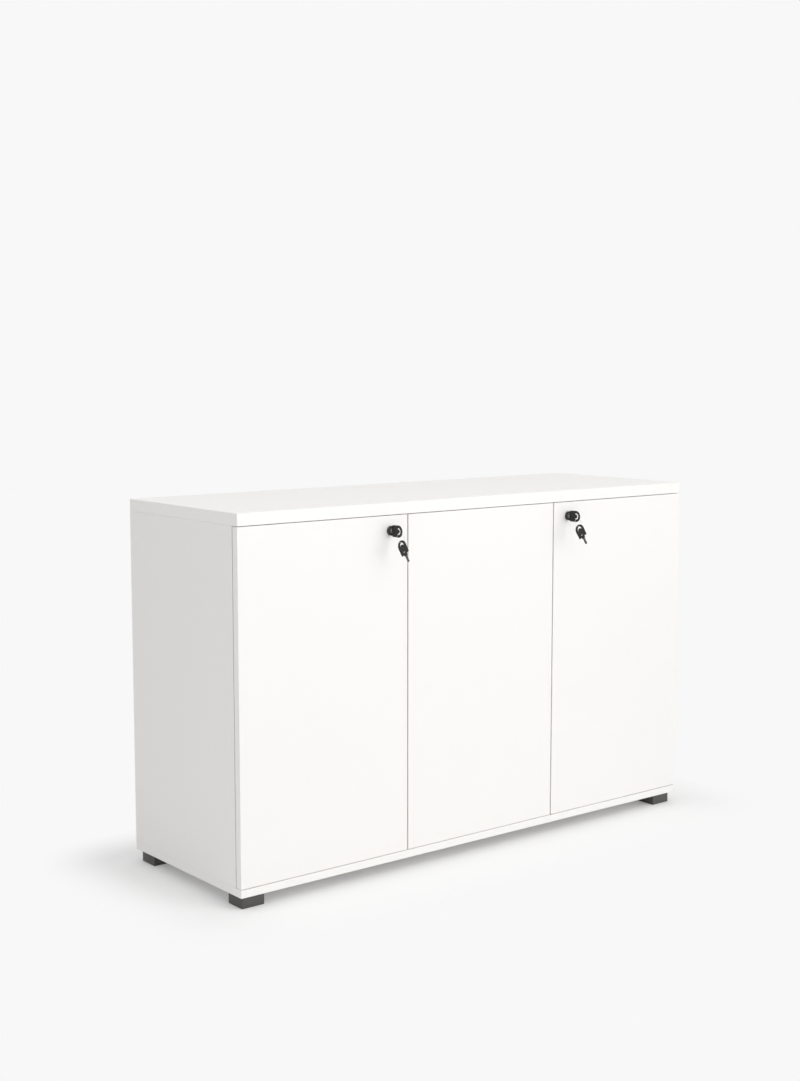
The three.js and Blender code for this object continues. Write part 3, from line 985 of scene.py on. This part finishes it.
@dataclass
class CupHinge:
    """One concealed hinge: cup, arm and link, with its screws."""

    shop: Workshop
    fixings: Fixings
    side: DoorSide
    level: str
    easing: Easing = Easing(0.2 * MM, 2)
    link_easing: Easing = Easing(0.15 * MM, 2)
    wing_screw_end: float = 5.0 * MM
    plate_screw_end: float = 7.0 * MM
    plate_thickness: float = 2.5 * MM
    plate_from_rear: float = 22.0 * MM
    adjusters_from_rear: Pair = (9.0 * MM, 33.0 * MM)
    wood_screw: ScrewKind = ScrewKind("wood_screws", 3.4 * MM, 1.4 * MM, 0.9 * MM)
    adjuster: ScrewKind = ScrewKind("adjusters", 2.5 * MM, 0.5 * MM, 0.8 * MM)

    def build(self) -> None:
        """Make the hinge and note its screws."""
        name = f"{self.side.value}_{self.level}_hinge"
        door = f"{self.side.value}_door"
        links = f"{self.side.value}_hinge_links"
        steel = self.shop.palette.hinge_steel
        self.shop.eased_node(f"{name}_cup", door, Slot.HINGE, steel, self.easing)
        self.shop.eased_node(f"{name}_arm", CASE, Slot.HINGE, steel, self.easing)
        self.shop.eased_node(f"{name}_link", links, Slot.HINGE, steel, self.link_easing)
        self.note_wing_screws(name, door)
        self.note_arm_screws(name)

    def note_wing_screws(self, name: str, door: str) -> None:
        """Note the two screws of the cup's wings.

        Args:
            name: The hinge's name.
            door: The door's body.
        """
        low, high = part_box(f"{name}_cup")
        middle = (low.x + high.x) / 2
        for level in (low.z + self.wing_screw_end, high.z - self.wing_screw_end):
            self.fixings.add(door, self.wood_screw, (middle, high.y, level), (0, 1, 0))

    def note_arm_screws(self, name: str) -> None:
        """Note the plate's two screws and the arm's two adjusters.

        Args:
            name: The hinge's name.
        """
        low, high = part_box(f"{name}_arm")
        toward = self.side.toward
        seat, outer = (low.x, high.x) if toward > 0 else (high.x, low.x)
        facing = (toward, 0, 0)
        plate = seat + toward * self.plate_thickness
        for level in (low.z + self.plate_screw_end, high.z - self.plate_screw_end):
            spot = (plate, high.y - self.plate_from_rear, level)
            self.fixings.add(CASE, self.wood_screw, spot, facing)
        for back in self.adjusters_from_rear:
            spot = (outer, high.y - back, (low.z + high.z) / 2)
            self.fixings.add(CASE, self.adjuster, spot, facing)


@dataclass
class CamLock:
    """One cam lock: rosette with its barrel, plug, cam with its nut, and strike plate.

    Root and crest of the thread are given as shares of its pitch.
    """

    shop: Workshop
    fixings: Fixings
    side: DoorSide
    sides: int = 64
    rosette_radius: float = 9.75 * MM
    rosette_height: float = 5.5 * MM
    rim: float = 1.3 * MM
    rim_steps: int = 5
    lip: float = 0.25 * MM
    groove_from_bore: float = 0.8 * MM
    base_edge: float = 0.2 * MM
    bore: float = 6.5 * MM
    barrel: float = 8.0 * MM
    barrel_length: float = 20.6 * MM
    thread_start: float = 16.2 * MM
    thread_pitch: float = 0.8 * MM
    thread_depth: float = 0.4 * MM
    thread_root: float = 0.4
    thread_crest: float = 0.8
    collar_bore: float = 4.8 * MM
    collar_height: float = 0.3 * MM
    collar_lip: float = 0.1 * MM
    nut_sides: int = 6
    nut_radius: float = 4.7 * MM
    nut_height: float = 2.0 * MM
    nut_edge: float = 0.3 * MM
    stub: float = 0.2 * MM
    strike_thickness: float = 1.5 * MM
    strike_screw_end: float = 7.0 * MM
    strike_screw_back: float = 10.75 * MM
    easing: Easing = Easing(0.2 * MM, 2)
    screw: ScrewKind = ScrewKind("strike_screws", 3.2 * MM, 1.2 * MM, 0.9 * MM)

    @property
    def lock(self) -> str:
        """The turning body's name, with which the lock's pieces begin."""
        return f"{self.side.value}_lock"

    def build(self) -> None:
        """Make the lock's pieces."""
        finishes = self.shop.palette
        lock, steel, door = self.lock, finishes.hinge_steel, f"{self.side.value}_door"
        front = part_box(door)[0].y
        rosette = f"{lock}_rosette"
        self.turned(rosette, self.rosette_profile(), front, door, f"{lock}_housing")
        self.shop.eased_node(
            f"{lock}_plug", lock, Slot.LOCK_STEEL, finishes.plug_steel, self.easing
        )
        self.shop.eased_node(f"{lock}_cam", lock, Slot.HINGE, steel, self.easing)
        low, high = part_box(f"{lock}_plug")
        self.turned(f"{lock}_collar", self.collar_profile((high.x - low.x) / 2), low.y, lock)
        self.build_nut(high.y - self.stub)
        strike = f"{self.side.value}_strike_plate"
        self.shop.eased_node(strike, CASE, Slot.HINGE, steel, self.easing)
        self.note_strike_screws(strike)

    def centre(self, y: float) -> Vector:
        """The point of the lock's axis at this Y."""
        low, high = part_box(f"{self.lock}_housing")
        return Vector(((low.x + high.x) / 2, y, (low.z + high.z) / 2))

    def turned(
        self, name: str, profile: Sequence[Pair], y: float, body: str, *nodes: str
    ) -> None:
        """Make a black ring by turning a closed profile about the lock's axis.

        Args:
            name: The piece's name.
            profile: Pairs of radius and distance toward the front.
            y: Where the distances count from.
            body: The body that it rides on.
            nodes: CAD nodes that it stands for.
        """
        centre = self.centre(y)
        rings = [circle(centre, radius, out, self.sides) for radius, out in profile]
        shape = skin(rings, endless=True)
        self.shop.soften(shape)
        made = self.shop.piece(name, shape, self.shop.palette.lock_black)
        self.shop.hand_over(made, body, Slot.LOCK_BLACK, *nodes)

    def rosette_profile(self) -> list[Pair]:
        """The closed section of the rosette and its threaded barrel.

        Returns:
            Pairs of radius and distance toward the front.
        """
        top, lip, rim = self.rosette_height, self.lip, self.rim
        groove = self.bore + self.groove_from_bore
        points = [
            (self.bore, top - lip),
            (self.bore + lip, top),
            (groove, top),
            (groove + lip, top - lip),
            (groove + 2 * lip, top - lip),
            (groove + 3 * lip, top),
        ]
        for step in range(self.rim_steps + 1):
            turn = QUARTER_TURN * step / self.rim_steps
            across, out = rim * math.sin(turn), rim * math.cos(turn)
            points.append((self.rosette_radius - rim + across, top - rim + out))
        points += [
            (self.rosette_radius, self.base_edge),
            (self.rosette_radius - self.base_edge, 0.0),
            (self.barrel, 0.0),
            (self.barrel, -self.thread_start),
        ]
        root = self.barrel - self.thread_depth
        pitch = self.thread_pitch
        for index in range(int((self.barrel_length - self.thread_start) / pitch)):
            start = self.thread_start + index * pitch
            points.append((root, -(start + self.thread_root * pitch)))
            points.append((self.barrel, -(start + self.thread_crest * pitch)))
        return points + [(root, -self.barrel_length), (self.bore, -self.barrel_length)]

    def collar_profile(self, plug_radius: float) -> list[Pair]:
        """The closed section of the ring that frames the plug's face.

        Args:
            plug_radius: The radius of that face.

        Returns:
            Pairs of radius and distance toward the front.
        """
        inner, top, lip = self.collar_bore, self.collar_height, self.collar_lip
        outer = plug_radius - lip
        return [
            (inner, -lip),
            (inner, top - lip),
            (inner + lip, top),
            (outer - lip, top),
            (outer, top - lip),
            (outer, -lip),
        ]

    def build_nut(self, rear: float) -> None:
        """Make the six-sided nut that holds the cam on the plug's stub.

        Args:
            rear: Where the nut ends along Y.
        """
        slim = self.nut_radius - self.nut_edge
        levels = [
            (slim, self.nut_height),
            (self.nut_radius, self.nut_height - self.nut_edge),
            (self.nut_radius, self.nut_edge),
            (slim, 0.0),
        ]
        centre = self.centre(rear)
        rings = [circle(centre, reach, out, self.nut_sides) for reach, out in levels]
        shape = skin(rings, endless=False)
        made = self.shop.piece(f"{self.lock}_nut", shape, self.shop.palette.hinge_steel)
        self.shop.hand_over(made, self.lock, Slot.HINGE)

    def note_strike_screws(self, node: str) -> None:
        """Note the two screws that hold the strike plate.

        Args:
            node: The strike plate's CAD node.
        """
        low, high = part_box(node)
        for x in (low.x + self.strike_screw_end, high.x - self.strike_screw_end):
            spot = (x, low.y + self.strike_screw_back, high.z - self.strike_thickness)
            self.fixings.add(CASE, self.screw, spot, (0, 0, -1))


@dataclass
class KeySet:
    """The key in the lock, its split ring and the spare key on the ring."""

    shop: Workshop
    fixings: Fixings
    side: DoorSide
    bow_easing: Easing = Easing(0.19 * MM, 3)
    blade_easing: Easing = Easing(0.15 * MM, 2)
    ring_radius: float = 9.3 * MM
    ring_tilt: float = math.radians(29)
    wire_radius: float = 0.25 * MM
    wire_pitch: float = 0.52 * MM
    ring_turns: float = 2.0
    ring_points: int = 56
    wire_sides: int = 10
    rivet_from_tip: float = 24.7 * MM
    spare_rivet: Pair = (-7.5 * MM, -17.0 * MM)
    rivet: RivetKind = RivetKind("bow_rivets", 1.5 * MM, 0.4 * MM)

    def build(self) -> None:
        """Make both keys and the ring, and note the bows' rivets."""
        name = self.side.value
        finishes = self.shop.palette
        key, spare, ring = f"{name}_key", f"{name}_spare_key", f"{name}_key_ring"
        for each in (key, spare):
            self.shop.eased_node(
                f"{each}_bow", each, Slot.KEY_PLASTIC, finishes.key_plastic, self.bow_easing
            )
            self.shop.eased_node(
                f"{each}_blade", each, Slot.LOCK_STEEL, finishes.lock_steel, self.blade_easing
            )
        wire = finishes.ring_wire
        made = self.ring_maker(ring, wire).run(f"{name}_split_ring", bmesh.new(), wire)
        self.shop.hand_over(made, ring, Slot.RING, ring)
        self.note_rivets(key, spare)

    def note_rivets(self, key: str, spare: str) -> None:
        """Note the rivet that holds each bow on its blade, on the bow's one flat face.

        Args:
            key: The body of the key in the lock.
            spare: The body of the spare key.
        """
        low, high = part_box(f"{key}_bow")
        spot = (high.x, low.y + self.rivet_from_tip, (low.z + high.z) / 2)
        self.fixings.add(key, self.rivet, spot, (1, 0, 0))
        joint = next(each for each in frame["joints"] if each["name"] == f"{spare}_swing")
        _, y, z = joint["pos_m"]
        spot = (low.x, y + self.spare_rivet[0], z + self.spare_rivet[1])
        self.fixings.add(spare, self.rivet, spot, (-1, 0, 0))

    def ring_maker(self, ring: str, wire: Material) -> NodeMaker:
        """Build the tree of the split ring, a wire wound twice.

        Args:
            ring: The ring's CAD node.
            wire: The ring's finish.

        Returns:
            The finished tree.
        """
        sizes = {
            "Radius": self.ring_radius, "Wire Radius": self.wire_radius, "Pitch": self.wire_pitch
        }
        maker = NodeMaker(f"{self.side.value}_ring_winding", sizes)
        radius, thickness, pitch = (maker.size(label) for label in sizes)
        node = maker.graph.node
        winding = node(
            "GeometryNodeCurveSpiral",
            {
                "Resolution": self.ring_points,
                "Rotations": self.ring_turns,
                "Start Radius": radius,
                "End Radius": radius,
                "Height": pitch,
            },
        )
        outline = {"Resolution": self.wire_sides, "Radius": thickness}
        section = node("GeometryNodeCurvePrimitiveCircle", outline, mode="RADIUS")
        curves = {"Curve": winding, "Profile Curve": section, "Fill Caps": True}
        tube = node("GeometryNodeCurveToMesh", curves)
        low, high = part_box(ring)
        turn = Euler((QUARTER_TURN - self.ring_tilt, 0.0, 0.0))
        middle = (low + high) / 2 - turn.to_matrix() @ Vector((0, 0, self.wire_pitch / 2))
        placed = maker.shift(tube, Translation=tuple(middle), Rotation=turn)
        maker.close(maker.smooth(placed), wire)
        return maker


@dataclass
class InsideBolt:
    """The slide bolt on the back of the middle door."""

    shop: Workshop
    fixings: Fixings
    easing: Easing = Easing(0.4 * MM, 3)
    screw_side: float = 3.4 * MM
    screw_end: float = 5.0 * MM
    screw: ScrewKind = ScrewKind("guide_screws", 2.3 * MM, 0.9 * MM, 0.7 * MM)

    def build(self) -> None:
        """Make guide and bolt, and note the guide's screws."""
        finishes = self.shop.palette
        door, bolt = f"{DoorSide.MIDDLE.value}_door", f"{DoorSide.MIDDLE.value}_bolt"
        guide = f"{door}_bolt_guide"
        self.shop.eased_node(guide, door, Slot.FOOT, finishes.foot, self.easing)
        self.shop.eased_node(
            f"{door}_bolt", bolt, Slot.HINGE, finishes.hinge_steel, self.easing
        )
        low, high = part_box(guide)
        for x in (low.x + self.screw_side, high.x - self.screw_side):
            for z in (low.z + self.screw_end, high.z - self.screw_end):
                self.fixings.add(door, self.screw, (x, high.y, z), (0, 1, 0))


class LampKind(Enum):
    """A lamp far away, or a square one nearby that lets faces darken toward the floor."""

    DISTANT = "SUN"
    NEAR = "AREA"


@dataclass(frozen=True)
class Lamp:
    """A soft lamp: a distant one's breadth is an angle, a near one's is its size."""

    kind: LampKind
    name: str
    source: Triple
    power: float
    breadth: float

    def build(self, target: Vector) -> None:
        """Add the lamp.

        Args:
            target: The point at which a near lamp is aimed.
        """
        data = bpy.data.lights.new(self.name, self.kind.value)
        data.energy = self.power
        aim = Vector(self.source)
        if self.kind is LampKind.NEAR:
            data.size = self.breadth
            aim -= target
        else:
            data.angle = self.breadth
        made = bpy.data.objects.new(self.name, data)
        made.location = self.source
        made.rotation_euler = aim.to_track_quat("Z", "Y").to_euler()
        bpy.context.scene.collection.objects.link(made)


@dataclass
class Studio:
    """Pale floor, soft light and the camera at the photograph's view."""

    camera_place: Triple = (-2.15630, -2.62363, 1.02503)
    camera_yaw: float = math.radians(38.6047)
    camera_pitch: float = math.radians(6.4571)
    focal_pixels: float = 1581.858
    image_height: float = 1081.0
    sensor: float = 36.0
    floor_half: float = 7.0
    floor_cells: int = 8
    floor_colour: Triple = (0.95, 0.95, 0.95)
    backdrop: Triple = (0.939, 0.939, 0.939)
    fade_end: float = 0.21
    least_fade: float = 0.18
    ambient: float = 0.375
    lamps: tuple[Lamp, ...] = (
        Lamp(LampKind.DISTANT, "key_light", (0.5, -0.85, 0.16), 1.15, math.radians(48)),
        Lamp(LampKind.DISTANT, "overhead_light", (0.05, -0.1, 1.0), 1.09, math.radians(100)),
        Lamp(LampKind.NEAR, "front_fill", (0.1, -1.7, 2.2), 10.0, 1.2),
        Lamp(LampKind.NEAR, "side_fill", (-1.75, -0.2, 0.95), 2.0, 1.0),
    )

    def build(self) -> None:
        """Set up camera, light, world and floor."""
        low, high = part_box("top_panel")
        middle = (low + high) / 2
        self.build_camera(middle.y)
        for lamp in self.lamps:
            lamp.build(middle)
        self.build_world()
        self.build_floor()
        bpy.context.scene.view_settings.view_transform = "Standard"

    def build_camera(self, middle: float) -> None:
        """Place the camera.

        Args:
            middle: The middle of the case's depth, from which the camera's Y counts.
        """
        data = bpy.data.cameras.new("photo_view")
        data.sensor_width = self.sensor
        data.lens = self.focal_pixels / self.image_height * self.sensor
        made = bpy.data.objects.new("photo_view", data)
        made.location = Vector(self.camera_place) + Vector((0.0, middle, 0.0))
        made.rotation_euler = (QUARTER_TURN - self.camera_pitch, 0.0, -self.camera_yaw)
        bpy.context.scene.collection.objects.link(made)
        bpy.context.scene.camera = made

    @staticmethod
    def seen(graph: Graph) -> Signal:
        """Tell which rays show the background: from the camera, a gloss or a clear piece.

        Args:
            graph: The tree of the world or the floor.

        Returns:
            1 for those rays, 0 for the others.
        """
        path = graph.node("ShaderNodeLightPath").outputs
        camera = Signal(graph, path["Is Camera Ray"])
        return camera.at_least(path["Is Glossy Ray"]).at_least(path["Is Transmission Ray"])

    def build_world(self) -> None:
        """Light the scene evenly, and show the backdrop's own colour."""
        world = bpy.data.worlds.new("studio")
        bpy.context.scene.world = world
        world.use_nodes = True
        graph = Graph(world.node_tree)
        light, shown = (
            graph.node("ShaderNodeBackground", {"Color": opaque(colour), "Strength": strength})
            for colour, strength in ((WHITE, self.ambient), (self.backdrop, 1.0))
        )
        mixed = graph.node("ShaderNodeMixShader", {0: self.seen(graph), 1: light, 2: shown})
        graph.node("ShaderNodeOutputWorld", {"Surface": mixed})

    def build_floor(self) -> None:
        """Lay the floor, which takes the shadow near the cabinet and fades into the backdrop."""
        shape = bmesh.new()
        cells = self.floor_cells
        bmesh.ops.create_grid(shape, x_segments=cells, y_segments=cells, size=self.floor_half)
        made = Workshop.piece("studio_floor", shape, self.floor_material())

    def floor_material(self) -> Material:
        """Build the floor's material.

        Returns:
            A matt white that turns into the backdrop's colour away from the cabinet.
        """
        material = bpy.data.materials.new("floor_white")
        material.use_nodes = True
        graph = Graph(material.node_tree)
        where = graph.node("ShaderNodeTexCoord").outputs["Object"]
        parts = graph.node("ShaderNodeSeparateXYZ", {0: where}).outputs
        low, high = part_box("bottom_panel")
        middle, half = (low + high) / 2, (high - low) / 2
        beside = (abs(Signal(graph, parts[0]) - middle.x) - half.x).at_least(0.0)
        before = (abs(Signal(graph, parts[1]) - middle.y) - half.y).at_least(0.0)
        away = (beside * beside + before * before) ** 0.5
        fade = graph.ramp(away, 0.0, self.fade_end).at_least(self.least_fade) * self.seen(graph)
        matt = graph.node("ShaderNodeBsdfDiffuse", {"Color": opaque(self.floor_colour)})
        plain = graph.node("ShaderNodeEmission", {"Color": opaque(self.backdrop)})
        mixed = graph.node("ShaderNodeMixShader", {0: fade, 1: matt, 2: plain})
        graph.node("ShaderNodeOutputMaterial", {"Surface": mixed})
        return material


def main() -> None:
    """Build the credenza and its studio."""
    logging.basicConfig(level=logging.INFO, format="%(name)s: %(message)s")
    shop = Workshop(Palette())
    fixings = Fixings(shop)
    Boards(shop).build()
    Feet(shop).build()
    ShelfPins(shop).build()
    for side in DoorSide:
        for level in ("upper", "lower"):
            CupHinge(shop, fixings, side, level).build()
        if side.has_lock:
            CamLock(shop, fixings, side).build()
            KeySet(shop, fixings, side).build()
    InsideBolt(shop, fixings).build()
    fixings.build()
    Studio().build()


if __name__ == "__main__":
    main()
